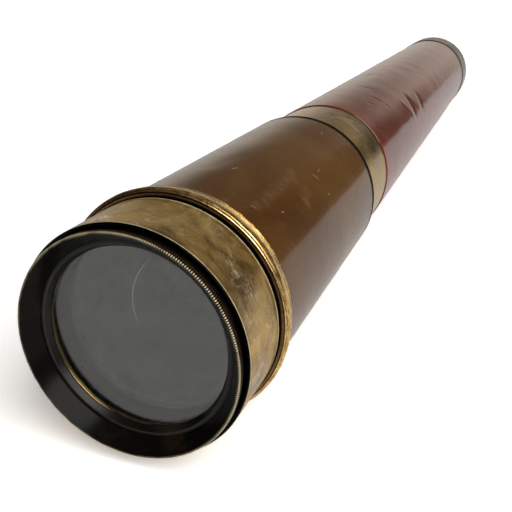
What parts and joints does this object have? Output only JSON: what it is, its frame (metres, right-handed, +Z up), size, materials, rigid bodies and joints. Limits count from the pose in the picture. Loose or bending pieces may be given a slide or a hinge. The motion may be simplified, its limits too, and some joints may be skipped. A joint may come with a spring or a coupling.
{
  "type": "hand telescope",
  "caption": "Antique single-draw hand telescope: lacquered sliding sunshade, leather-covered barrel, brass draw tube with erecting eyepiece and dust shutter.",
  "frame": {"origin": "on the surface that the telescope lies on, under the middle of its length; the sunshade flange touches the surface", "axes": "+X along the optical axis towards the objective, +Z up"},
  "size_m": [0.6156, 0.0704, 0.0704],
  "materials": {
    "worn_brass": "bare brass, dulled, mottled and scratched",
    "blackened_brass": "black lacquer on brass, worn bright on the edges",
    "brown_lacquer": "glossy brown lacquer on brass, finely scratched and dented",
    "red_leather": "glossy dark red leather, wrinkled in places",
    "grey_plate": "grey tarnished plate on brass",
    "optical_glass": "polished lens"
  },
  "bodies": {
    "barrel": {"objective_cell": "blackened_brass", "lens_retaining_ring": "blackened_brass", "crown_lens": "optical_glass", "lens_spacer": "worn_brass", "flint_lens": "optical_glass", "cell_mount_ring": "worn_brass", "body_tube": "worn_brass", "shade_bearing_tube": "worn_brass", "shade_stop_ring": "worn_brass", "barrel_cover": "red_leather", "front_baffle": "blackened_brass", "rear_baffle": "blackened_brass", "draw_guide_bush": "worn_brass", "rear_ferrule": "grey_plate"},
    "sunshade": {"sunshade_front_ring": "worn_brass", "sunshade_tube": "brown_lacquer", "sunshade_rear_ring": "blackened_brass"},
    "draw": {"draw_tube": "worn_brass", "draw_stop_ring": "worn_brass", "draw_end_flange": "worn_brass", "erector_tube": "blackened_brass", "erector_front_carrier": "worn_brass", "erector_rear_carrier": "worn_brass", "erector_stop": "blackened_brass", "erector_front_lens": "optical_glass", "erector_rear_lens": "optical_glass", "eyepiece_tube": "worn_brass", "field_stop": "blackened_brass", "field_lens": "optical_glass", "eye_lens": "optical_glass", "eye_cap": "worn_brass", "shutter_pivot_screw": "worn_brass"},
    "dust_shutter": {"eye_shutter": "worn_brass", "shutter_knob": "worn_brass"}
  },
  "joints": [
    {"name": "sunshade_slide", "type": "slide", "parent": "barrel", "child": "sunshade", "axis": [1, 0, 0], "range_m": [-0.035, 0.083]},
    {"name": "draw_slide", "type": "slide", "parent": "barrel", "child": "draw", "axis": [-1, 0, 0], "range_m": [0, 0.3]},
    {"name": "shutter_pivot", "type": "hinge", "parent": "draw", "child": "dust_shutter", "pos_m": [-0.3048, 0, 0.0492], "axis": [1, 0, 0], "range_deg": [0, 85]}
  ]
}
